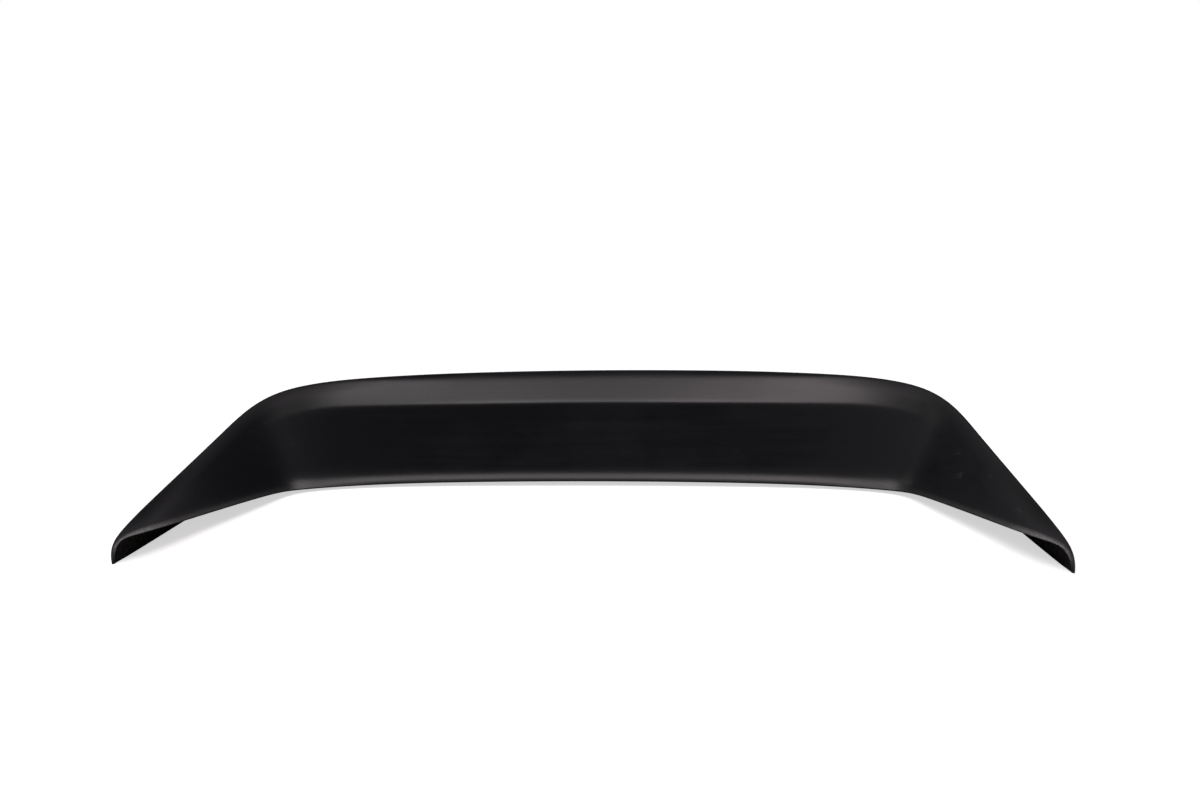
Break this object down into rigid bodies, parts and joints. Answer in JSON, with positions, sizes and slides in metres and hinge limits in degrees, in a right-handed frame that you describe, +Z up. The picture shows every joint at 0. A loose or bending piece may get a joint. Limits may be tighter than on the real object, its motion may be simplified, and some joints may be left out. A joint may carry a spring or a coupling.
{
  "type": "rear spoiler",
  "caption": "Wrap-around ducktail rear spoiler: a hollow one-piece satin-black shell with a steep front face, rolled ridge and tapering legs, for the tail of a car.",
  "frame": {"origin": "middle of the box at the level outer rim, which stands on the floor", "axes": "+X across the car, +Y to the rear of the car, +Z up"},
  "size_m": [1.1418, 0.335, 0.1337],
  "materials": {
    "satin_black": "satin"
  },
  "bodies": {
    "root": {"spoiler_shell": "satin_black"}
  },
  "joints": []
}
